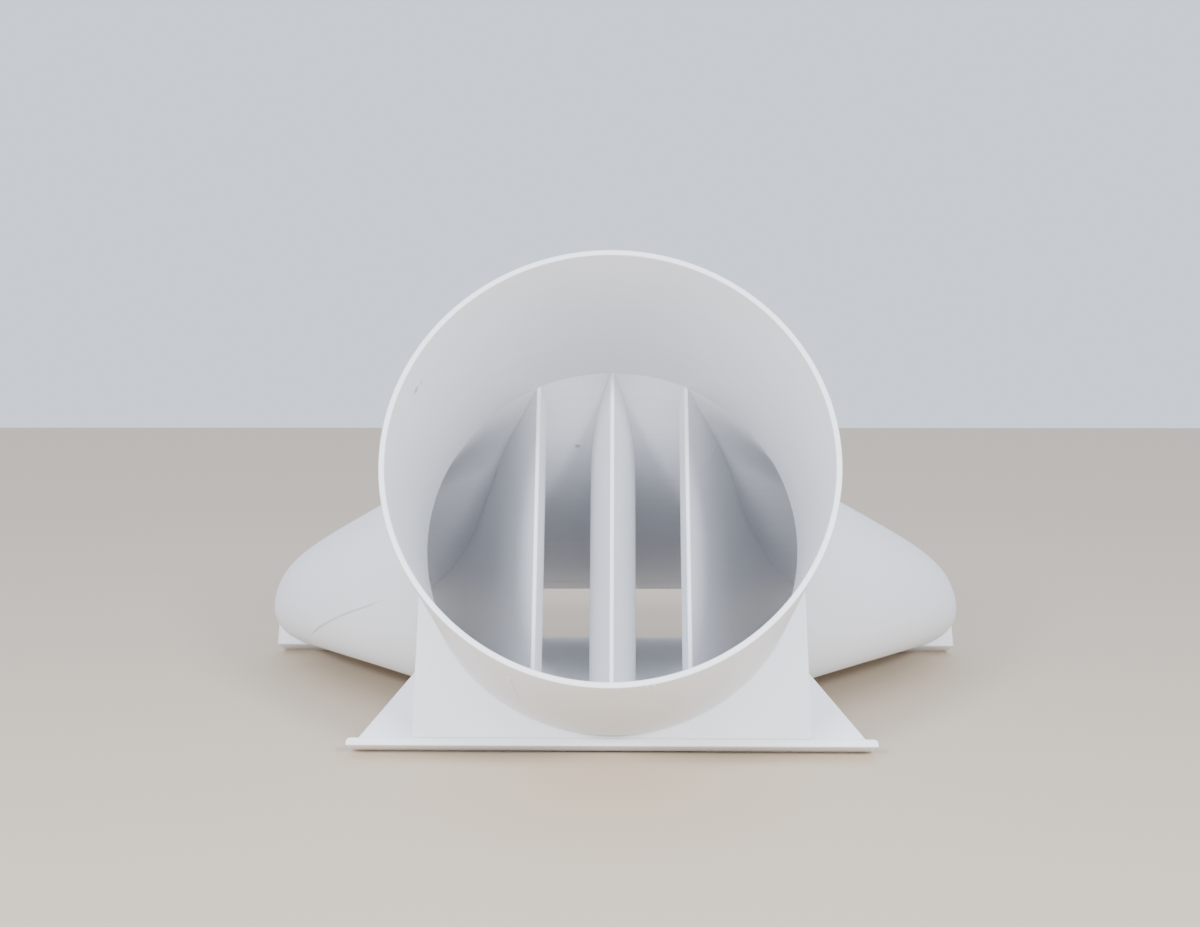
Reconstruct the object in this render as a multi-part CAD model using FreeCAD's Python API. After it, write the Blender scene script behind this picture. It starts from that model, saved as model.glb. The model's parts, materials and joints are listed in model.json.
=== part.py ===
"""Draft tube of a vertical axis turbine: round inlet, spreading body with three piers, flat slot outlet.

Every piece is drawn in the duct's own axes and then set down on its two feet:
X across the duct, Y down the flow from the plane where the inlet tube meets the body,
Z across the flow, away from the floor. The inlet tube is round the Y axis.
"""
import FreeCAD, Part
import math
import os

V = FreeCAD.Vector

# ---- Driving dimensions, millimetres and degrees ----

tilt = 22.5               # the inlet axis slopes down the flow by this much when the duct stands on its feet

tube_radius = 77.0        # outside of the inlet tube
wall = 2.0                # every printed wall of the duct
tube_length = 106.0       # from the rim to the body

body_length = 189.0       # from the inlet tube to the front of the outlet flange
flange_depth = 15.0       # outlet flange, along the flow
flange_width = 362.0
flange_side_margin = 5.5      # from the outside of the body to the flange's edges
flange_floor_margin = 5.5
flange_roof_margin = 1.5

outlet_height = 31.0          # outside of the body's section at the outlet, floor to roof
outlet_widest_rise = 12.8     # where the outlet section is widest, above its own floor
outlet_roof_corner = 12.0     # half-width taken by the rounded corner under the roof
outlet_floor_corner = 8.0     # half-width taken by the rounded corner over the floor

# How fast each size of the section leaves the inlet and reaches the outlet, 1 is a straight line's slope
width_slopes = (0.76, -0.8)
roof_slopes = (2.0, 0.26)
floor_slopes = (1.4, 0.6)
widest_slopes = (0.12, 0.34)
roof_corner_slopes = (0.63, 0.0)
floor_corner_slopes = (2.74, 1.92)

plate_side_margin = 0.5   # saddle plate beyond the side of the tube
plate_thickness = 5.0
plate_top_drop = 18.0     # top of the saddle's horns, below the inlet axis
foot_clearance = 4.0      # underside of the front foot, below the tube
foot_overhang = 4.5       # ends of the foot beyond the gussets
foot_depth = 15.0
foot_height = 3.0
foot_round = 1.8

gusset_width = 21.0
gusset_height = 26.0
gusset_thickness = 3.0
gusset_recess = 1.5       # behind the front face of the saddle plate

centre_pier_thickness = 20.5
side_pier_thickness = 19.0
pier_nose = 2.0           # blunt edge of a pier's nose and tail
pier_widest = 0.32        # share of a pier's length where it is thickest
pier_tail_setback = 3.0   # tails end this far inside the outlet face
side_pier_nose_x = 31.0   # middle of a side pier at its nose
side_pier_tail_x = 101.0  # middle of a side pier at its tail
side_pier_sweep = 0.42    # how much of the sweep outwards is there from the nose, 1 is a straight pier

wing_reach = 17.0         # each wing starts this far inside the side of the tube

# ---- Sizes that follow ----

duct_length = body_length + flange_depth
inner_radius = tube_radius - wall
middle_width = 2 * (tube_radius - wing_reach)
plate_width = 2 * (tube_radius + plate_side_margin)
foot_drop = tube_radius + foot_clearance
foot_width = plate_width + 2 * (gusset_width + foot_overhang)
outlet_half_width = flange_width / 2 - flange_side_margin
flange_height = flange_floor_margin + outlet_height + flange_roof_margin
sin_tilt = math.sin(math.radians(tilt))
cos_tilt = math.cos(math.radians(tilt))
axis_height = foot_drop * cos_tilt + foot_depth * sin_tilt
flange_bottom = (duct_length * sin_tilt - axis_height) / cos_tilt
flange_top = flange_bottom + flange_height
rim_front = -tube_length * cos_tilt - tube_radius * sin_tilt
flange_back = duct_length * cos_tilt + flange_top * sin_tilt
axis_setback = -(rim_front + flange_back) / 2
outlet_floor = flange_bottom + flange_floor_margin
outlet_roof = outlet_floor + outlet_height
outlet_widest = outlet_floor + outlet_widest_rise

inlet_flat = 0.5          # half of the sliver of flat roof that the body's round start already has
section_count = 11        # sections the body is lofted through
pier_points = 9           # points along each flank of a pier
oversize = 400.0          # larger than any piece, for the blocks that trim one


def stand(shape):
    """Turns a piece from the duct's axes to how it stands, origin under the middle of the whole duct."""
    shape.rotate(V(0, 0, 0), V(1, 0, 0), -tilt)
    shape.translate(V(0, axis_setback, axis_height))
    return shape


def write(shape, node):
    solids = shape.Solids
    piece = solids[0] if len(solids) == 1 else Part.makeCompound(solids)
    stand(piece).exportStep("parts/%s.step" % node)
    print(node, len(solids), "solid", round(shape.Volume), "mm3, valid", shape.isValid())


def ease(share, start_slope, end_slope):
    """Goes from 0 to 1 over the duct's length; a slope of 1 is the straight line's."""
    rise = 3 * share ** 2 - 2 * share ** 3
    leave = share ** 3 - 2 * share ** 2 + share
    arrive = share ** 3 - share ** 2
    return rise + start_slope * leave + end_slope * arrive


def block(x_low, x_high, y_low, y_high, z_low, z_high):
    return Part.makeBox(x_high - x_low, y_high - y_low, z_high - z_low, V(x_low, y_low, z_low))


# ---- The spreading body: a circle at the tube, a wide low slot at the outlet ----

def blend(inlet, outlet, share, slopes):
    return inlet + (outlet - inlet) * ease(share, *slopes)


def section_sizes(share, inset):
    """Sizes of the body's section at a share of its length, drawn inset from the outer skin."""
    half_width = blend(tube_radius, outlet_half_width, share, width_slopes)
    roof = blend(tube_radius, outlet_roof, share, roof_slopes)
    floor = blend(-tube_radius, outlet_floor, share, floor_slopes)
    widest = blend(0.0, outlet_widest, share, widest_slopes)
    roof_corner = blend(tube_radius - inlet_flat, outlet_roof_corner, share, roof_corner_slopes)
    floor_corner = blend(tube_radius - inlet_flat, outlet_floor_corner, share, floor_corner_slopes)
    return (half_width - inset, roof - inset, floor + inset, widest,
            roof_corner - inset, floor_corner - inset)


def corner_arc(flat_end, square_corner, side_end):
    """A quarter of an ellipse between two ends, bulging to the square corner."""
    arc = Part.BezierCurve()
    arc.setPoles([flat_end, square_corner, side_end])
    arc.setWeight(2, math.sqrt(0.5))
    return arc.toShape()


def quarter(half_width, corner, level, widest, side, y):
    """One quarter of a section: flat from the middle, then an elliptical corner to the widest point."""
    flat_end = V(side * (half_width - corner), y, level)
    square_corner = V(side * half_width, y, level)
    side_end = V(side * half_width, y, widest)
    return [Part.makeLine(V(0, y, level), flat_end), corner_arc(flat_end, square_corner, side_end)]


def section_wire(share, inset):
    half_width, roof, floor, widest, roof_corner, floor_corner = section_sizes(share, inset)
    y = share * duct_length
    right_top = quarter(half_width, roof_corner, roof, widest, 1, y)
    right_bottom = quarter(half_width, floor_corner, floor, widest, 1, y)
    left_bottom = quarter(half_width, floor_corner, floor, widest, -1, y)
    left_top = quarter(half_width, roof_corner, roof, widest, -1, y)
    return Part.Wire(right_top + right_bottom[::-1] + left_bottom + left_top[::-1])


def body_loft(inset):
    wires = []
    for i in range(section_count):
        wires.append(section_wire(i / (section_count - 1), inset))
    return Part.makeLoft(wires, True, False)


outer_body = body_loft(0.0)
flow_space = body_loft(wall)
body_skin = outer_body.cut(flow_space)


def roof_and_floor():
    middle = block(-middle_width / 2, middle_width / 2, 0, body_length, -oversize, oversize)
    halves = sorted(body_skin.common(middle).Solids, key=lambda solid: solid.CenterOfMass.z)
    write(halves[-1], "roof_panel")
    write(halves[0], "floor_panel")


def wing(side, node):
    near, far = sorted((side * middle_width / 2, side * oversize))
    write(body_skin.common(block(near, far, 0, body_length, -oversize, oversize)), node)


# ---- Inlet: tube, saddle plate, front foot and its gussets ----

def inlet_tube():
    start = V(0, -tube_length, 0)
    along = V(0, 1, 0)
    outside = Part.makeCylinder(tube_radius, tube_length, start, along)
    write(outside.cut(Part.makeCylinder(inner_radius, tube_length, start, along)), "inlet_tube")


def saddle_plate():
    foot_top = foot_height - foot_drop
    plate = block(-plate_width / 2, plate_width / 2, 0, plate_thickness, foot_top, -plate_top_drop)
    write(plate.cut(outer_body), "saddle_plate")


def front_foot():
    foot = block(-foot_width / 2, foot_width / 2, 0, foot_depth, -foot_drop, foot_height - foot_drop)
    ends = []
    for edge in foot.Edges:
        middle = edge.CenterOfMass
        if abs(abs(middle.x) - foot_width / 2) < 0.01 and abs(middle.z - foot_height + foot_drop) < 0.01:
            if edge.Length > foot_height + 0.01:
                ends.append(edge)
    write(foot.makeFillet(foot_round, ends), "front_foot")


def gusset(side, node):
    inner = side * plate_width / 2
    outer = inner + side * gusset_width
    low = foot_height - foot_drop
    heel = V(inner, gusset_recess, low)
    toe = V(outer, gusset_recess, low)
    top = V(inner, gusset_recess, low + gusset_height)
    face = Part.Face(Part.makePolygon([heel, toe, top, heel]))
    write(face.extrude(V(0, gusset_thickness, 0)).cut(outer_body), node)


# ---- Outlet flange, with the slot through it ----

def outlet_flange():
    plate = block(-flange_width / 2, flange_width / 2, body_length, duct_length, flange_bottom, flange_top)
    write(plate.cut(flow_space), "outlet_flange")


# ---- Piers that split the flow into four ----

def pier_half_thickness(share, thickness):
    nose = pier_nose / 2
    if share < pier_widest:
        return nose + (thickness / 2 - nose) * (1 - (1 - share / pier_widest) ** 2)
    back = (share - pier_widest) / (1 - pier_widest)
    return nose + (thickness / 2 - nose) * (1 + math.cos(math.pi * back)) / 2


def pier(nose_x, tail_x, thickness, node):
    """An upright pier: both flanks follow its middle line, which sweeps outwards down the flow."""
    length = duct_length - pier_tail_setback
    flanks = {1: [], -1: []}
    for i in range(pier_points):
        share = i / (pier_points - 1)
        sweep = side_pier_sweep * share + (1 - side_pier_sweep) * share ** 2
        middle = nose_x + (tail_x - nose_x) * sweep
        for side in flanks:
            flanks[side].append(V(middle + side * pier_half_thickness(share, thickness), share * length, 0))
    edges = []
    for side in flanks:
        curve = Part.BSplineCurve()
        curve.interpolate(Points=flanks[side])
        edges.append(curve.toShape())
    edges.append(Part.makeLine(flanks[-1][0], flanks[1][0]))
    edges.append(Part.makeLine(flanks[-1][-1], flanks[1][-1]))
    outline = Part.Face(Part.Wire(Part.__sortEdges__(edges)))
    outline.translate(V(0, 0, -oversize / 2))
    write(outline.extrude(V(0, 0, oversize)).common(flow_space), node)


os.makedirs("parts", exist_ok=True)
inlet_tube()
saddle_plate()
front_foot()
gusset(-1, "left_gusset")
gusset(1, "right_gusset")
roof_and_floor()
wing(-1, "left_wing")
wing(1, "right_wing")
pier(0.0, 0.0, centre_pier_thickness, "centre_pier")
pier(-side_pier_nose_x, -side_pier_tail_x, side_pier_thickness, "left_pier")
pier(side_pier_nose_x, side_pier_tail_x, side_pier_thickness, "right_pier")
outlet_flange()
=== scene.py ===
"""Looks of a vertical axis turbine's draft tube: a white printed duct, from a round inlet to a low slot."""
import bpy
import bmesh
import json
import math
from mathutils import Euler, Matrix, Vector

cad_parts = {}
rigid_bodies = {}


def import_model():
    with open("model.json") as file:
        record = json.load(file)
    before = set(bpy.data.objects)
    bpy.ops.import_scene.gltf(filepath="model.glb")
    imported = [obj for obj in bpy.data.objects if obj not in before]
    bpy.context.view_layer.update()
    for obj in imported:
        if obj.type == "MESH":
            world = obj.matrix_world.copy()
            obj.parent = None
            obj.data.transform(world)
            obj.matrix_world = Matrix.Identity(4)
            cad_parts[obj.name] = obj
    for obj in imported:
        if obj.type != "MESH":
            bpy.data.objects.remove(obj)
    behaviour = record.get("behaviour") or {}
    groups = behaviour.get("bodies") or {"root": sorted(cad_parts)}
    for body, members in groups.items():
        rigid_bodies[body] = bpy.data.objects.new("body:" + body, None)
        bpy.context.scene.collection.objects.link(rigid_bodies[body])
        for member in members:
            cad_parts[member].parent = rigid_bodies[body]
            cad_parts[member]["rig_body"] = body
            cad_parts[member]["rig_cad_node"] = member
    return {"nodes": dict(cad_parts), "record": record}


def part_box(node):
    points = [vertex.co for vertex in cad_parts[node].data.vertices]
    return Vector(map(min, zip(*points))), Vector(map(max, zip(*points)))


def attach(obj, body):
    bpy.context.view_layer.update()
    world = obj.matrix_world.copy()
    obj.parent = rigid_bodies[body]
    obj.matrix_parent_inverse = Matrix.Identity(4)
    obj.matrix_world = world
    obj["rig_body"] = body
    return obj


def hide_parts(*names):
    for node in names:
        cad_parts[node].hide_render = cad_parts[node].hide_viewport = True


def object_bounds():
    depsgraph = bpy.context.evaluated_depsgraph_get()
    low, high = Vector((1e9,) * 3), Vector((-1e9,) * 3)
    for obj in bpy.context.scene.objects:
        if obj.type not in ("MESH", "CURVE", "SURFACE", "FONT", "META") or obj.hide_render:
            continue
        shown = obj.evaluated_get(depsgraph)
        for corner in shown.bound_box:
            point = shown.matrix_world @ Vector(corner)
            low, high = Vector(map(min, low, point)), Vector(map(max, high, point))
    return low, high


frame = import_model()
cad_low, cad_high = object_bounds()
MM = 0.001


# ---- Inlet tube ----
# A round tube of white plastic, printed standing on its far end, so that its layers are rings. Its rim is
# the last layer, with both edges a little rounded. A rectangle swept round the inlet axis makes it.

mounts = {mount["name"]: mount for mount in frame["record"]["mounts"]}
inlet_axis = Vector(mounts["inlet_bore"]["axis"])
inlet_radius = mounts["inlet_bore"]["dims"]["r_mm"] * MM
tube_radius = mounts["inlet_spigot"]["dims"]["r_mm"] * MM
tube_length = mounts["inlet_bore"]["dims"]["length_mm"] * MM
wall = tube_radius - inlet_radius
tilt = math.atan2(inlet_axis.z, -inlet_axis.y)
duct_start = Vector(mounts["inlet_bore"]["pos_m"]) - inlet_axis * tube_length / 2

WHITE = (0.91, 0.915, 0.935)
LAYER_HEIGHT = 0.28 * MM
BAND_SCALE = (4, 900, 4)            # per metre: a run of layers is long along a layer and thin across it
LOW_LAYER_PAINTED_SHADE = 0.955             # of the colour: painted shade where layers lie back
ROUGHNESS_SPREAD = (-0.07, 0.09)    # of the plastic, from one place to another
SCORCHED = (0.45, 0.30, 0.18, 1)
STAIN_STRENGTH = 0.7
STAIN_CORE = 0.3                    # share of a stain's radius that has its full strength
WELD = 0.002 * MM                   # points closer than this are one


def in_row(x, y, z):
    """A place in the duct's own axes (across, down the flow, away from the floor), in the frame's axes."""
    return duct_start + Euler((-tilt, 0, 0)).to_matrix() @ Vector((x, y, z))


def layered_print(name, colour, roughness, seed, stains=()):
    """Printed plastic: fine ridges where layers lie on each other, some proud, painted shade where they lie
    back, and a few small stains.
    """
    material = bpy.data.materials.new(name)
    material.use_nodes = True
    nodes = material.node_tree.nodes
    link = material.node_tree.links.new
    shader = nodes["Principled BSDF"]
    place = nodes.new("ShaderNodeTexCoord")
    # turned so that its Y runs down the flow, across the layers
    turn = nodes.new("ShaderNodeMapping")
    turn.inputs["Rotation"].default_value = (tilt, 0, 0)
    link(place.outputs["Object"], turn.inputs["Vector"])

    # every layer's edge is a rounded bead
    parts = nodes.new("ShaderNodeSeparateXYZ")
    link(turn.outputs["Vector"], parts.inputs["Vector"])
    count = nodes.new("ShaderNodeMath")
    count.operation = "MULTIPLY"
    count.inputs[1].default_value = math.pi / LAYER_HEIGHT
    link(parts.outputs["Y"], count.inputs[0])
    wave = nodes.new("ShaderNodeMath")
    wave.operation = "SINE"
    link(count.outputs[0], wave.inputs[0])
    bead = nodes.new("ShaderNodeMath")
    bead.operation = "ABSOLUTE"
    link(wave.outputs[0], bead.inputs[0])

    # runs of layers stand a little proud of the next, long along a layer and short across it
    stretch = nodes.new("ShaderNodeMapping")
    stretch.inputs["Location"].default_value = (seed, seed * 1.7, 0)
    stretch.inputs["Scale"].default_value = BAND_SCALE
    link(turn.outputs["Vector"], stretch.inputs["Vector"])
    bands = nodes.new("ShaderNodeTexNoise")
    bands.inputs["Scale"].default_value = 1.0
    bands.inputs["Detail"].default_value = 3.0
    bands.inputs["Roughness"].default_value = 0.65
    link(stretch.outputs["Vector"], bands.inputs["Vector"])

    # slow unevenness of the wall, left by the print's cooling
    mottle = nodes.new("ShaderNodeTexNoise")
    mottle.inputs["Scale"].default_value = 45.0
    mottle.inputs["Detail"].default_value = 4.0
    link(turn.outputs["Vector"], mottle.inputs["Vector"])

    # the relief, from the finest up: what raises it, how strongly, and how high
    relief = [
        (bead.outputs[0], 0.35, 0.03 * MM),
        (bands.outputs["Fac"], 0.5, 0.06 * MM),
        (mottle.outputs["Fac"], 0.4, 0.25 * MM)]
    surface = None
    for raised, strength, height in relief:
        bump = nodes.new("ShaderNodeBump")
        bump.inputs["Strength"].default_value = strength
        bump.inputs["Distance"].default_value = height
        link(raised, bump.inputs["Height"])
        if surface:
            link(surface, bump.inputs["Normal"])
        surface = bump.outputs["Normal"]
    link(surface, shader.inputs["Normal"])

    # painted shade: layers that lie back are made a little darker
    tone = nodes.new("ShaderNodeValToRGB")
    low, high = tone.color_ramp.elements
    low.position = 0.3
    low.color = (*[channel * LOW_LAYER_PAINTED_SHADE for channel in colour], 1)
    high.position = 0.7
    high.color = (*colour, 1)
    link(bands.outputs["Fac"], tone.inputs["Fac"])
    colour_so_far = tone.outputs["Color"]
    for spot, size in stains:
        away = nodes.new("ShaderNodeVectorMath")
        away.operation = "DISTANCE"
        away.inputs[1].default_value = spot
        link(place.outputs["Object"], away.inputs[0])
        edge = nodes.new("ShaderNodeMapRange")
        edge.inputs["From Min"].default_value = size
        edge.inputs["From Max"].default_value = size * STAIN_CORE
        edge.inputs["To Max"].default_value = STAIN_STRENGTH
        link(away.outputs["Value"], edge.inputs["Value"])
        stained = nodes.new("ShaderNodeMixRGB")
        stained.inputs["Color2"].default_value = SCORCHED
        link(edge.outputs["Result"], stained.inputs["Fac"])
        link(colour_so_far, stained.inputs["Color1"])
        colour_so_far = stained.outputs["Color"]
    link(colour_so_far, shader.inputs["Base Color"])

    gloss = nodes.new("ShaderNodeMapRange")
    gloss.inputs["To Min"].default_value = roughness + ROUGHNESS_SPREAD[0]
    gloss.inputs["To Max"].default_value = roughness + ROUGHNESS_SPREAD[1]
    link(mottle.outputs["Fac"], gloss.inputs["Value"])
    link(gloss.outputs["Result"], shader.inputs["Roughness"])
    shader.inputs["Subsurface Weight"].default_value = 0.1
    shader.inputs["Subsurface Radius"].default_value = (1.0, 0.95, 0.9)
    shader.inputs["Subsurface Scale"].default_value = 1.2 * MM
    return material


def bake(tree, name, values):
    """Runs a node tree with its named inputs set and returns a plain mesh object of what it makes."""
    start = bpy.data.meshes.new(name + "_start")
    holder = bpy.data.objects.new(name, start)
    bpy.context.collection.objects.link(holder)
    modifier = holder.modifiers.new("make", "NODES")
    modifier.node_group = tree
    for item in tree.interface.items_tree:
        if item.item_type == "SOCKET" and item.in_out == "INPUT" and item.name in values:
            modifier[item.identifier] = values[item.name]
    bpy.context.view_layer.update()
    depsgraph = bpy.context.evaluated_depsgraph_get()
    mesh = bpy.data.meshes.new_from_object(holder.evaluated_get(depsgraph), depsgraph=depsgraph)
    holder.modifiers.clear()
    holder.data = mesh
    bpy.data.meshes.remove(start)
    mesh.name = name
    return holder


def close_and_smooth(piece, sharp_angle):
    """Welds a piece's seams, turns its faces outwards and shades it smooth between its real edges."""
    mesh = bmesh.new()
    mesh.from_mesh(piece.data)
    bmesh.ops.remove_doubles(mesh, verts=mesh.verts, dist=WELD)
    bmesh.ops.dissolve_degenerate(mesh, edges=mesh.edges, dist=WELD)
    bmesh.ops.recalc_face_normals(mesh, faces=mesh.faces)
    mesh.to_mesh(piece.data)
    mesh.free()
    piece.data.shade_smooth()
    piece.data.set_sharp_from_angle(angle=math.radians(sharp_angle))
    return piece


def new_tree(name, inputs):
    """An empty tree with named inputs, its Group Input and Group Output."""
    tree = bpy.data.node_groups.new(name, "GeometryNodeTree")
    tree.interface.new_socket("Geometry", in_out="INPUT", socket_type="NodeSocketGeometry")
    tree.interface.new_socket("Geometry", in_out="OUTPUT", socket_type="NodeSocketGeometry")
    for label, value in inputs.items():
        kind = "NodeSocketFloat"
        if isinstance(value, int):
            kind = "NodeSocketInt"
        socket = tree.interface.new_socket(label, in_out="INPUT", socket_type=kind)
        socket.default_value = value
    tree.interface.new_socket("Material", in_out="INPUT", socket_type="NodeSocketMaterial")
    return tree, tree.nodes.new("NodeGroupInput"), tree.nodes.new("NodeGroupOutput")


def stand_and_finish(tree, given, result, geometry):
    """Ends a tree: sets the piece down as the duct stands, and gives it its material."""
    stood = tree.nodes.new("GeometryNodeTransform")
    stood.inputs["Translation"].default_value = duct_start
    stood.inputs["Rotation"].default_value = (-tilt, 0, 0)
    real = tree.nodes.new("GeometryNodeRealizeInstances")
    painted = tree.nodes.new("GeometryNodeSetMaterial")
    tree.links.new(geometry, stood.inputs["Geometry"])
    tree.links.new(stood.outputs["Geometry"], real.inputs["Geometry"])
    tree.links.new(real.outputs["Geometry"], painted.inputs["Geometry"])
    tree.links.new(given.outputs["Material"], painted.inputs["Material"])
    tree.links.new(painted.outputs["Geometry"], result.inputs["Geometry"])


tube_inputs = {
    "Mean Radius": tube_radius - wall / 2, "Length": tube_length, "Wall": wall, "Edge Rounding": 0.45 * MM,
    "Segments": 256}


def tube_tree():
    """A tube: a rounded rectangle, as long as the tube and as wide as its wall, swept round a circle."""
    tree, given, result = new_tree("swept_tube", tube_inputs)
    circle = tree.nodes.new("GeometryNodeCurvePrimitiveCircle")
    outline = tree.nodes.new("GeometryNodeCurvePrimitiveQuadrilateral")
    filleted = tree.nodes.new("GeometryNodeFilletCurve")
    filleted.mode = "POLY"
    filleted.inputs["Count"].default_value = 4
    swept = tree.nodes.new("GeometryNodeCurveToMesh")
    # the tube lies along the flow and ends where the body starts, its middle half its length up the flow
    laid = tree.nodes.new("GeometryNodeTransform")
    laid.inputs["Rotation"].default_value = (math.pi / 2, 0, 0)
    shift = tree.nodes.new("ShaderNodeVectorMath")
    shift.operation = "SCALE"
    shift.inputs[0].default_value = (0, -0.5, 0)
    link = tree.links.new
    link(given.outputs["Segments"], circle.inputs["Resolution"])
    link(given.outputs["Mean Radius"], circle.inputs["Radius"])
    link(given.outputs["Wall"], outline.inputs["Width"])
    link(given.outputs["Length"], outline.inputs["Height"])
    link(outline.outputs["Curve"], filleted.inputs["Curve"])
    link(given.outputs["Edge Rounding"], filleted.inputs["Radius"])
    link(circle.outputs["Curve"], swept.inputs["Curve"])
    link(filleted.outputs["Curve"], swept.inputs["Profile Curve"])
    link(swept.outputs["Mesh"], laid.inputs["Geometry"])
    link(given.outputs["Length"], shift.inputs["Scale"])
    link(shift.outputs["Vector"], laid.inputs["Translation"])
    stand_and_finish(tree, given, result, laid.outputs["Geometry"])
    return tree


# two scorched specks from the nozzle, inside on the left, each with its radius
specks = [
    (in_row(-68.4 * MM, -89.2 * MM, 30.8 * MM), 2.0 * MM),
    (in_row(-66.6 * MM, -88.3 * MM, 34.0 * MM), 1.0 * MM)]
tube_print = layered_print("tube_print", WHITE, roughness=0.42, seed=3.1, stains=specks)
inlet_tube = bake(tube_tree(), "inlet_tube_print", {**tube_inputs, "Material": tube_print})
close_and_smooth(inlet_tube, sharp_angle=40)
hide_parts("inlet_tube")
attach(inlet_tube, "root")


# ---- Spreading body: roof, floor and the two wings ----
# One printed skin, 2 mm thick, from the round tube to a low wide slot. Every section across the flow is flat
# over and under its middle, with a quarter of an ellipse at each corner. Geometry Nodes draw each of the
# four panels by that rule.

FLANGE_SIDE = 5.5 * MM
FLANGE_UNDER = 5.5 * MM
FLANGE_OVER = 1.5 * MM
FLANGE_DEPTH = 15 * MM
WIDEST_RISE = 12.8 * MM      # from the floor up to where the outlet is widest

# how fast each size of the section leaves the tube and arrives at the outlet; 1 is a straight line's slope
SLOPES = {
    "Half Width": (0.76, -0.8), "Roof": (2.0, 0.26), "Floor": (1.4, 0.6), "Widest": (0.12, 0.34),
    "Roof Corner": (0.63, 0.0), "Floor Corner": (2.74, 1.92)}

across = Vector((1, 0, 0))
down_flow = -inlet_axis
up = across.cross(down_flow)
flange_points = [vertex.co - duct_start for vertex in frame["nodes"]["outlet_flange"].data.vertices]
duct_length = max(point.dot(down_flow) for point in flange_points)
body_length = duct_length - FLANGE_DEPTH
flange_half_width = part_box("outlet_flange")[1].x
outlet_floor = min(point.dot(up) for point in flange_points) + FLANGE_UNDER
outlet_roof = max(point.dot(up) for point in flange_points) - FLANGE_OVER
middle_half_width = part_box("roof_panel")[1].x

body_sizes = {
    "Tube Radius": tube_radius, "Wall": wall, "Duct Length": duct_length, "Body Length": body_length,
    "Middle Half Width": middle_half_width, "Outlet Half Width": flange_half_width - FLANGE_SIDE,
    "Outlet Roof": outlet_roof, "Outlet Floor": outlet_floor, "Outlet Widest": outlet_floor + WIDEST_RISE,
    "Outlet Roof Corner": 12 * MM, "Outlet Floor Corner": 8 * MM, "Inlet Flat": 0.5 * MM}


class Amount:
    """A number that Geometry Nodes work out, so that a rule of the shape reads as a plain sum."""

    def __init__(self, tree, socket):
        self.tree = tree
        self.socket = socket

    def worked(self, operation, *others):
        node = self.tree.nodes.new("ShaderNodeMath")
        node.operation = operation
        for place, value in zip(node.inputs, (self, *others)):
            if isinstance(value, Amount):
                self.tree.links.new(value.socket, place)
            else:
                place.default_value = value
        return Amount(self.tree, node.outputs[0])

    def __add__(self, other):
        return self.worked("ADD", other)

    def __sub__(self, other):
        return self.worked("SUBTRACT", other)

    def __mul__(self, other):
        return self.worked("MULTIPLY", other)

    def __truediv__(self, other):
        return self.worked("DIVIDE", other)

    def __neg__(self):
        return self * -1.0

    def at_least(self, other):
        return self.worked("MAXIMUM", other)

    def at_most(self, other):
        return self.worked("MINIMUM", other)


def one_minus(amount):
    return -amount + 1.0


def root_of_one_minus_square(amount):
    """The height of a unit circle over this place on its width."""
    return one_minus(amount * amount).at_least(0.0).worked("SQRT")


def from_to(start, end, share, leave, arrive):
    """Goes from start to end along the duct; a slope of 1 on leaving or arriving is the straight line's."""
    square = share * share
    cube = square * share
    rise = square * 3.0 - cube * 2.0
    leaving = cube - square * 2.0 + share
    arriving = cube - square
    return start + (end - start) * (rise + leaving * leave + arriving * arrive)


def section(sizes, share, inset):
    """The body's section at a share of the duct's length, drawn inset from the outside of its skin."""
    radius = sizes["Tube Radius"]
    corner = radius - sizes["Inlet Flat"]

    def size(name, at_tube):
        return from_to(at_tube, sizes["Outlet " + name], share, *SLOPES[name])

    return {
        "Half Width": size("Half Width", radius) - inset,
        "Roof": size("Roof", radius) - inset,
        "Floor": size("Floor", -radius) + inset,
        "Widest": size("Widest", radius * 0.0),
        "Roof Corner": size("Roof Corner", corner) - inset,
        "Floor Corner": size("Floor Corner", corner) - inset}


def level_at(cut, x, edge):
    """Height of the roof or floor at a place across: flat, then an ellipse down to the widest point."""
    corner = cut[edge + " Corner"]
    past_flat = (x.worked("ABSOLUTE") - (cut["Half Width"] - corner)).at_least(0.0)
    rounding = root_of_one_minus_square((past_flat / corner).at_most(1.0))
    return cut["Widest"] + (cut[edge] - cut["Widest"]) * rounding


def grid_with_shares(tree, rows, columns):
    """A flat grid, with how far along and how far across each of its points is, from 0 to 1."""
    grid = tree.nodes.new("GeometryNodeMeshGrid")
    grid.inputs["Vertices X"].default_value = rows
    grid.inputs["Vertices Y"].default_value = columns
    place = tree.nodes.new("GeometryNodeInputPosition")
    parts = tree.nodes.new("ShaderNodeSeparateXYZ")
    tree.links.new(place.outputs["Position"], parts.inputs["Vector"])
    return grid, Amount(tree, parts.outputs["X"]) + 0.5, Amount(tree, parts.outputs["Y"]) + 0.5


def point(tree, x, y, z):
    """A place, from its three amounts."""
    together = tree.nodes.new("ShaderNodeCombineXYZ")
    for place, value in zip(together.inputs, (x, y, z)):
        tree.links.new(value.socket, place)
    return together.outputs["Vector"]


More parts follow.
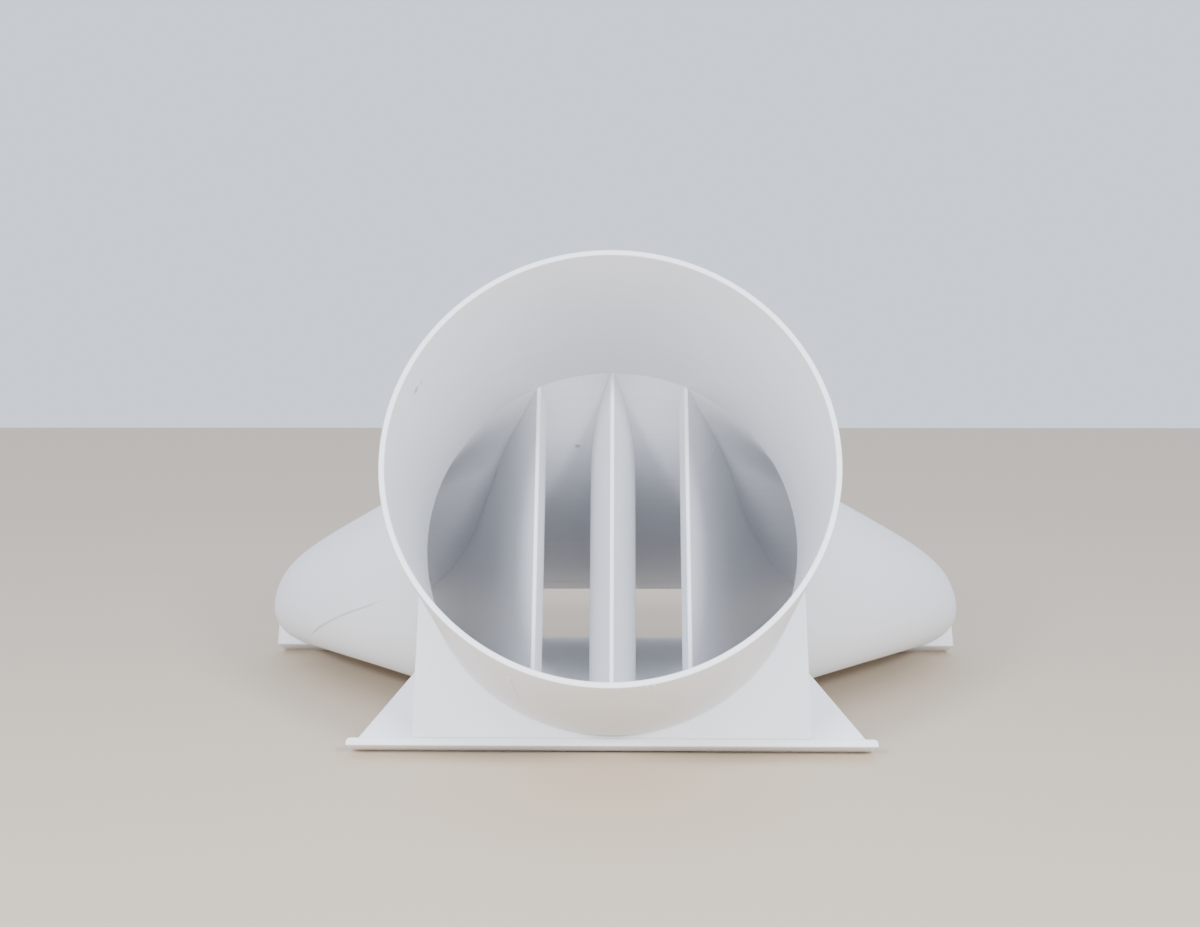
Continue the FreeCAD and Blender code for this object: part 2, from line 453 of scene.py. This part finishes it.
def solid_between(tree, grid, near, far):
    """A closed solid between two positions of one grid: both faces, with walls round its edge."""
    kept = grid.outputs["Mesh"]
    for name, position in (("near", near), ("far", far)):
        store = tree.nodes.new("GeometryNodeStoreNamedAttribute")
        store.data_type = "FLOAT_VECTOR"
        store.inputs["Name"].default_value = name
        tree.links.new(kept, store.inputs["Geometry"])
        tree.links.new(position, store.inputs["Value"])
        kept = store.outputs["Geometry"]

    def moved(geometry, name, selection=None):
        read = tree.nodes.new("GeometryNodeInputNamedAttribute")
        read.data_type = "FLOAT_VECTOR"
        read.inputs["Name"].default_value = name
        move = tree.nodes.new("GeometryNodeSetPosition")
        tree.links.new(geometry, move.inputs["Geometry"])
        tree.links.new(read.outputs["Attribute"], move.inputs["Position"])
        if selection:
            tree.links.new(selection, move.inputs["Selection"])
        return move.outputs["Geometry"]

    near_face = moved(kept, "near")
    walls = tree.nodes.new("GeometryNodeExtrudeMesh")
    walls.inputs["Offset Scale"].default_value = 0.0
    walls.inputs["Individual"].default_value = False
    tree.links.new(near_face, walls.inputs["Mesh"])
    far_face = moved(walls.outputs["Mesh"], "far", walls.outputs["Top"])
    back = tree.nodes.new("GeometryNodeFlipFaces")
    tree.links.new(near_face, back.inputs["Mesh"])
    whole = tree.nodes.new("GeometryNodeJoinGeometry")
    tree.links.new(back.outputs["Mesh"], whole.inputs["Geometry"])
    tree.links.new(far_face, whole.inputs["Geometry"])
    solid = whole.outputs["Geometry"]
    for name in ("near", "far"):
        forget = tree.nodes.new("GeometryNodeRemoveAttribute")
        forget.inputs["Name"].default_value = name
        tree.links.new(solid, forget.inputs["Geometry"])
        solid = forget.outputs["Geometry"]
    return solid


def sizes_of(tree, given, inputs):
    """A tree's named inputs, as amounts to reckon with."""
    return {name: Amount(tree, given.outputs[name]) for name in inputs}


def middle_panel_tree(edge):
    """The roof or the floor: the middle of every section, between the two wings."""
    tree, given, result = new_tree(edge.lower() + "_panel", body_sizes)
    sizes = sizes_of(tree, given, body_sizes)
    grid, along, sideways = grid_with_shares(tree, rows=121, columns=49)
    y = along * sizes["Body Length"]
    x = (sideways * 2.0 - 1.0) * sizes["Middle Half Width"]
    faces = []
    for inset in (0.0, sizes["Wall"]):
        cut = section(sizes, y / sizes["Duct Length"], inset)
        faces.append(point(tree, x, y, level_at(cut, x, edge)))
    stand_and_finish(tree, given, result, solid_between(tree, grid, *faces))
    return tree


def wing_tree():
    """A wing: out along the section from the roof's edge, round its widest point, back to the floor's."""
    inputs = {**body_sizes, "Side": 1.0}
    tree, given, result = new_tree("wing", inputs)
    sizes = sizes_of(tree, given, inputs)
    grid, along, way = grid_with_shares(tree, rows=121, columns=97)
    y = along * sizes["Body Length"]
    # the first and last twentieth of the way are flat, next to the middle panels; the rest turns the corner
    flat_share = 0.05
    turned = ((way - flat_share) / (1 - 2 * flat_share)).at_least(0.0).at_most(1.0) * math.pi
    out_of_flat = (way / flat_share).at_most(one_minus(way) / flat_share).at_most(1.0)
    on_roof = turned.worked("LESS_THAN", math.pi / 2)
    faces = []
    for inset in (0.0, sizes["Wall"]):
        cut = section(sizes, y / sizes["Duct Length"], inset)
        corner = cut["Floor Corner"] + (cut["Roof Corner"] - cut["Floor Corner"]) * on_roof
        bulge = cut["Half Width"] - corner + corner * turned.worked("SINE")
        start = sizes["Middle Half Width"]
        x = start + (bulge.at_least(start) - start) * out_of_flat
        roof = level_at(cut, x, "Roof")
        floor = level_at(cut, x, "Floor")
        faces.append(point(tree, x * sizes["Side"], y, floor + (roof - floor) * on_roof))
    stand_and_finish(tree, given, result, solid_between(tree, grid, *faces))
    return tree


# another speck, on the underside of the roof, left of the centre pier
roof_speck = (in_row(-16 * MM, 45 * MM, 58.5 * MM), 1.6 * MM)
body_print = layered_print("body_print", WHITE, roughness=0.42, seed=7.4, stains=[roof_speck])
wing = wing_tree()
panels = {
    "roof_panel": (middle_panel_tree("Roof"), {}),
    "floor_panel": (middle_panel_tree("Floor"), {}),
    "left_wing": (wing, {"Side": -1.0}),
    "right_wing": (wing, {"Side": 1.0})}
for node, (tree, extra) in panels.items():
    panel = bake(tree, node + "_print", {**body_sizes, **extra, "Material": body_print})
    close_and_smooth(panel, sharp_angle=40)
    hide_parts(node)
    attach(panel, "root")


# ---- Piers ----
# Three upright fins that split the flow in four, printed in one with the duct. Each has a thin square nose,
# is thickest a third of the way down and thins out to its tail; the outer two sweep outwards with the body.

SIDE_NOSE = 31 * MM
SIDE_TAIL = 101 * MM
SIDE_THICKNESS = 19 * MM
pier_inputs = {
    **body_sizes, "Nose Place": 0.0, "Tail Place": 0.0, "Thickness": 20.5 * MM, "Nose Thickness": 1.5 * MM,
    "Edge Rounding": 0.25 * MM, "Tail Setback": 3 * MM, "Thickest At": 0.32, "Sweep From Nose": 0.42}


def pier_outline(sizes, y):
    """Middle line and half thickness of a pier at a place down the flow."""
    length = sizes["Duct Length"] - sizes["Tail Setback"]
    share = y / length
    nose = sizes["Nose Thickness"] * 0.5
    swell = sizes["Thickness"] * 0.5 - nose
    before = one_minus(share / sizes["Thickest At"]).at_least(0.0)
    after = ((share - sizes["Thickest At"]) / one_minus(sizes["Thickest At"])).at_least(0.0)
    fullness = one_minus(before * before) * ((after * math.pi).worked("COSINE") + 1.0) * 0.5
    from_end = y.at_most(length - y) / sizes["Edge Rounding"]
    taken_off = one_minus(root_of_one_minus_square(one_minus(from_end.at_most(1.0))))
    half = nose + swell * fullness - sizes["Edge Rounding"] * taken_off
    sweep = sizes["Sweep From Nose"]
    swept = sweep * share + one_minus(sweep) * share * share
    middle = sizes["Nose Place"] + (sizes["Tail Place"] - sizes["Nose Place"]) * swept
    return middle, half


def pier_tree():
    """An upright fin from the floor to the roof, with its outline seen from above drawn by pier_outline."""
    tree, given, result = new_tree("pier", pier_inputs)
    sizes = sizes_of(tree, given, pier_inputs)
    grid, along, sideways = grid_with_shares(tree, rows=141, columns=15)
    # rows crowd together at the nose and the tail, where the outline turns
    y = along * along * (-along * 2.0 + 3.0) * (sizes["Duct Length"] - sizes["Tail Setback"])
    middle, half = pier_outline(sizes, y)
    x = middle + (sideways * 2.0 - 1.0) * half
    cut = section(sizes, y / sizes["Duct Length"], sizes["Wall"])
    floor = point(tree, x, y, level_at(cut, x, "Floor"))
    roof = point(tree, x, y, level_at(cut, x, "Roof"))
    stand_and_finish(tree, given, result, solid_between(tree, grid, floor, roof))
    return tree


pier_print = layered_print("pier_print", WHITE, roughness=0.40, seed=11.9)
pier = pier_tree()
piers = {
    "centre_pier": {},
    "left_pier": {"Nose Place": -SIDE_NOSE, "Tail Place": -SIDE_TAIL, "Thickness": SIDE_THICKNESS},
    "right_pier": {"Nose Place": SIDE_NOSE, "Tail Place": SIDE_TAIL, "Thickness": SIDE_THICKNESS}}
for node, extra in piers.items():
    fin = bake(pier, node + "_print", {**pier_inputs, **extra, "Material": pier_print})
    close_and_smooth(fin, sharp_angle=50)
    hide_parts(node)
    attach(fin, "root")


# ---- Saddle plate, front foot, gussets and outlet flange ----
# The flat pieces round the duct's two ends. They are printed with it, and their edges are as round as the
# nozzle leaves them, so each is the plain piece with its edges taken off.

PLATE_WHITE = (0.91, 0.915, 0.94)
# the gussets are thinner and set back in the plate's shade; their colour is a painted shade, a little greyer
# than the plate's
GUSSET_PAINTED_SHADE = (0.80, 0.825, 0.88)
SAME_POINT = 0.001 * MM
FLAT_WITHIN = math.radians(0.5)      # faces that differ less than this lie in one plane
ROUNDED_FROM = math.radians(50)      # edges sharper than this are rounded
SHADED_SHARP_FROM = math.radians(35)

plate_print = layered_print("plate_print", PLATE_WHITE, roughness=0.45, seed=15.2)
# the gussets' print carries the painted-shade grey in its colour
gusset_shaded_print = layered_print("gusset_shaded_print", GUSSET_PAINTED_SHADE, roughness=0.45, seed=18.6)
# how round the edges of each are, and its plastic
flat_pieces = {
    "saddle_plate": (0.6 * MM, plate_print), "front_foot": (0.35 * MM, plate_print),
    "left_gusset": (0.25 * MM, gusset_shaded_print), "right_gusset": (0.25 * MM, gusset_shaded_print),
    "outlet_flange": (0.4 * MM, plate_print)}


def rounded(node, radius, print_material):
    """A copy of a flat piece, welded, with its edges rounded."""
    piece = frame["nodes"][node].copy()
    plain = frame["nodes"][node].data.copy()
    piece.data = plain
    piece.parent = None
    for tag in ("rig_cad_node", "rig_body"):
        del piece[tag]
    piece.name = node + "_print"
    bpy.context.collection.objects.link(piece)
    mesh = bmesh.new()
    mesh.from_mesh(plain)
    bmesh.ops.remove_doubles(mesh, verts=mesh.verts, dist=SAME_POINT)
    bmesh.ops.dissolve_limit(mesh, angle_limit=FLAT_WITHIN, verts=mesh.verts, edges=mesh.edges)
    bmesh.ops.recalc_face_normals(mesh, faces=mesh.faces)
    mesh.to_mesh(plain)
    mesh.free()
    edges = piece.modifiers.new("edges", "BEVEL")
    edges.width = radius
    edges.segments = 3
    edges.limit_method = "ANGLE"
    edges.angle_limit = ROUNDED_FROM
    bpy.context.view_layer.update()
    depsgraph = bpy.context.evaluated_depsgraph_get()
    finished = bpy.data.meshes.new_from_object(piece.evaluated_get(depsgraph), depsgraph=depsgraph)
    piece.modifiers.clear()
    piece.data = finished
    bpy.data.meshes.remove(plain)
    finished.name = piece.name
    finished.materials.clear()
    finished.materials.append(print_material)
    finished.shade_smooth()
    finished.set_sharp_from_angle(angle=SHADED_SHARP_FROM)
    return piece


for node, (radius, print_material) in flat_pieces.items():
    piece = rounded(node, radius, print_material)
    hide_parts(node)
    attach(piece, "root")


# ---- Print marks: seams, lip and wisp ----
# Where the nozzle starts a new layer it leaves a small blob, and the blobs of many layers line up as a seam.
# The tube has three short seams on its underside. The left wing has one soft lip outside, and the right pier
# a stray wisp of plastic.

degree = math.radians(1)
seam_inputs = {
    "Radius": tube_radius, "Start": -80.8 * MM, "End": -37 * MM, "Round From Top": -154.3 * degree,
    "Blob Size": 0.5 * MM, "Smallest Blob": 0.55, "Largest Blob": 1.15, "Waver": 0.3 * MM, "Slow Waver": 0.6,
    "Quick Waver": 0.4, "Radians Of Waver": 19.0, "Fade": 0.6, "Blobs": 150, "Seed": 3}


def row_of_points(tree, count):
    """A row of points, and how far along it each of them is, from 0 to 1."""
    row = tree.nodes.new("GeometryNodeMeshLine")
    index = tree.nodes.new("GeometryNodeInputIndex")
    tree.links.new(count.socket, row.inputs["Count"])
    return row.outputs["Mesh"], Amount(tree, index.outputs["Index"]) / (count - 1.0)


def placed(tree, geometry, position):
    """The geometry with each of its points moved to its own position."""
    move = tree.nodes.new("GeometryNodeSetPosition")
    tree.links.new(geometry, move.inputs["Geometry"])
    tree.links.new(position, move.inputs["Position"])
    return move.outputs["Geometry"]


def random_amount(tree, low, high, seed, step):
    """A number that differs from point to point."""
    draw = tree.nodes.new("FunctionNodeRandomValue")
    # its third and fourth inputs are the lowest and the highest plain number
    for place, value in zip(draw.inputs[2:4], (low, high)):
        tree.links.new(value.socket, place)
    tree.links.new((seed + float(step)).socket, draw.inputs["Seed"])
    return Amount(tree, draw.outputs[1])


def seam_tree():
    """Blobs in a row along the tube, at an angle round it from its top."""
    tree, given, result = new_tree("layer_seam", seam_inputs)
    sizes = sizes_of(tree, given, seam_inputs)
    row, way = row_of_points(tree, sizes["Blobs"])
    y = sizes["Start"] + (sizes["End"] - sizes["Start"]) * way
    slow = (way * sizes["Radians Of Waver"]).worked("SINE") * sizes["Slow Waver"]
    quick = random_amount(tree, -sizes["Quick Waver"], sizes["Quick Waver"], sizes["Seed"], 0)
    turned = sizes["Round From Top"] + (slow + quick) * sizes["Waver"] / sizes["Radius"]
    spots = placed(tree, row, point(
        tree, sizes["Radius"] * turned.worked("SINE"), y, sizes["Radius"] * turned.worked("COSINE")))
    blob = tree.nodes.new("GeometryNodeMeshIcoSphere")
    blob.inputs["Subdivisions"].default_value = 2
    tree.links.new(given.outputs["Blob Size"], blob.inputs["Radius"])
    scatter = tree.nodes.new("GeometryNodeInstanceOnPoints")
    tree.links.new(spots, scatter.inputs["Points"])
    tree.links.new(blob.outputs["Mesh"], scatter.inputs["Instance"])
    drawn = random_amount(tree, sizes["Smallest Blob"], sizes["Largest Blob"], sizes["Seed"], 1)
    size = drawn * one_minus(way * sizes["Fade"])
    tree.links.new(size.socket, scatter.inputs["Scale"])
    stand_and_finish(tree, given, result, scatter.outputs["Instances"])
    return tree


THIN_END = 0.15      # of a thread's thickness
TAPER_RATE = 5.0     # each end of a thread thins over a fifth of its length


def drawn_thread(tree, geometry, thickness, way):
    """A round thread along a row of points, thin at both ends."""
    taper = (way * TAPER_RATE).at_most(one_minus(way) * TAPER_RATE).at_most(1.0)
    bold = taper * (1 - THIN_END) + THIN_END
    line = tree.nodes.new("GeometryNodeMeshToCurve")
    tree.links.new(geometry, line.inputs["Mesh"])
    circle = tree.nodes.new("GeometryNodeCurvePrimitiveCircle")
    circle.inputs["Resolution"].default_value = 10
    tree.links.new((thickness * 0.5).socket, circle.inputs["Radius"])
    swept = tree.nodes.new("GeometryNodeCurveToMesh")
    swept.inputs["Fill Caps"].default_value = True
    tree.links.new(line.outputs["Curve"], swept.inputs["Curve"])
    tree.links.new(circle.outputs["Curve"], swept.inputs["Profile Curve"])
    tree.links.new(bold.socket, swept.inputs["Scale"])
    return swept.outputs["Mesh"]


def lip_tree():
    """A slim lip on the outside of the left wing, in a shallow arc under its widest line."""
    inputs = {
        **body_sizes, "Start": 43 * MM, "End": 115 * MM, "Top At": 79 * MM, "Top Height": -11.5 * MM,
        "Droop": 1.23, "Thickness": 2.0 * MM, "Points": 121}
    tree, given, result = new_tree("wing_lip", inputs)
    sizes = sizes_of(tree, given, inputs)
    row, way = row_of_points(tree, sizes["Points"])
    y = sizes["Start"] + (sizes["End"] - sizes["Start"]) * way
    from_top = y - sizes["Top At"]
    height = sizes["Top Height"] - sizes["Droop"] * from_top * from_top
    cut = section(sizes, y / sizes["Duct Length"], 0.0)
    under_widest = (cut["Widest"] - height) / (cut["Widest"] - cut["Floor"])
    corner = cut["Floor Corner"]
    x = -(cut["Half Width"] - corner + corner * root_of_one_minus_square(under_widest))
    line = placed(tree, row, point(tree, x, y, height))
    stand_and_finish(tree, given, result, drawn_thread(tree, line, sizes["Thickness"], way))
    return tree


def wisp_tree():
    """A fine thread of plastic up the outer flank of the right pier, from its nose nearly to the roof."""
    inputs = {
        **pier_inputs, "Start": 5.4 * MM, "Bend": 26 * MM, "End": 38.3 * MM, "Start Height": 34.4 * MM,
        "Bend Height": 43.3 * MM, "End Height": 59 * MM, "Thread Thickness": 0.42 * MM, "Points": 41}
    tree, given, result = new_tree("pier_wisp", inputs)
    sizes = sizes_of(tree, given, inputs)
    row, way = row_of_points(tree, sizes["Points"])
    left = one_minus(way)

    def bent(start, bend, end):
        return left * left * start + left * way * bend * 2.0 + way * way * end

    y = bent(sizes["Start"], sizes["Bend"], sizes["End"])
    height = bent(sizes["Start Height"], sizes["Bend Height"], sizes["End Height"])
    middle, half = pier_outline(sizes, y)
    line = placed(tree, row, point(tree, middle + half, y, height))
    stand_and_finish(tree, given, result, drawn_thread(tree, line, sizes["Thread Thickness"], way))
    return tree


seam = seam_tree()
at_rim = {"Waver": 0.1 * MM, "Blob Size": 0.34 * MM, "Start": -105 * MM}
seams = {
    "left_seam": {},
    "rim_seam": {**at_rim, "End": -85 * MM, "Round From Top": 169.3 * degree, "Blobs": 70, "Seed": 5},
    "second_rim_seam": {**at_rim, "End": -87 * MM, "Round From Top": 170.9 * degree, "Blobs": 64, "Seed": 8}}
marks = {name: (seam, {**seam_inputs, **extra}, tube_print, "tube_print") for name, extra in seams.items()}
marks["wing_lip"] = (lip_tree(), body_sizes, body_print, "body_print")
marks["pier_wisp"] = (wisp_tree(), {**pier_inputs, **piers["right_pier"]}, pier_print, "pier_print")
for name, (tree, values, print_material, slot_name) in marks.items():
    mark = bake(tree, name, {**values, "Material": print_material})
    close_and_smooth(mark, sharp_angle=60)
    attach(mark, "root")


# ---- Floor, lights and camera ----
# A plain pale floor under the duct, pale air all round it, and two small soft lamps behind the viewer, to
# the left and the right. The camera looks into the inlet from in front and a little above.

FLOOR_COLOUR = (0.66, 0.54, 0.40, 1)
FLOOR_ROUGHNESS = 0.7
FLOOR_REACH = 4.0                      # metres each way
AIR_COLOUR = (0.73, 0.80, 0.95, 1)
AIR_STRENGTH = 1.5
LAMP_COLOUR = (0.86, 0.92, 1.0)
LAMP_WIDTH = 0.14
LAMP_POWER = 13.0
LAMP_PLACE = (0.41, -1.08, 0.53)       # of the right one; the left one stands opposite it
FILM_WIDTH = 36                        # millimetres, like the lens
LENS = 40.87
EYE_ACROSS = 0.004
EYE_HEIGHT = 0.145
EYE_DISTANCE = 0.4221                  # in front of the duct
LOOKS_DOWN = math.radians(3.31)
LOOKS_LEFT = math.radians(0.92)

floor_mesh = bpy.data.meshes.new("studio_floor")
corners = [(-1, -1), (1, -1), (1, 1), (-1, 1)]
floor_mesh.from_pydata([(x * FLOOR_REACH, y * FLOOR_REACH, 0) for x, y in corners], [], [(0, 1, 2, 3)])
floor = bpy.data.objects.new("studio_floor", floor_mesh)
bpy.context.collection.objects.link(floor)
floor_paint = bpy.data.materials.new("studio_floor_paint")
floor_paint.use_nodes = True
floor_shader = floor_paint.node_tree.nodes["Principled BSDF"]
floor_shader.inputs["Base Color"].default_value = FLOOR_COLOUR
floor_shader.inputs["Roughness"].default_value = FLOOR_ROUGHNESS
floor_mesh.materials.append(floor_paint)

world = bpy.data.worlds.new("studio_air")
world.use_nodes = True
air = world.node_tree.nodes["Background"]
air.inputs["Color"].default_value = AIR_COLOUR
air.inputs["Strength"].default_value = AIR_STRENGTH
bpy.context.scene.world = world

middle = (cad_low + cad_high) / 2
for name, side in (("left_lamp", -1), ("right_lamp", 1)):
    lamp = bpy.data.objects.new(name, bpy.data.lights.new(name, "AREA"))
    lamp.data.shape = "DISK"
    lamp.data.size = LAMP_WIDTH
    lamp.data.energy = LAMP_POWER
    lamp.data.color = LAMP_COLOUR
    place = Vector((side * LAMP_PLACE[0], *LAMP_PLACE[1:]))
    lamp.location = place
    lamp.rotation_euler = (middle - place).to_track_quat("-Z", "Y").to_euler()
    bpy.context.collection.objects.link(lamp)

camera = bpy.data.objects.new("camera", bpy.data.cameras.new("camera"))
camera.data.sensor_width = FILM_WIDTH
camera.data.lens = LENS
camera.location = (EYE_ACROSS, cad_low.y - EYE_DISTANCE, EYE_HEIGHT)
camera.rotation_euler = Euler((math.pi / 2 - LOOKS_DOWN, 0, LOOKS_LEFT))
bpy.context.collection.objects.link(camera)
bpy.context.scene.camera = camera
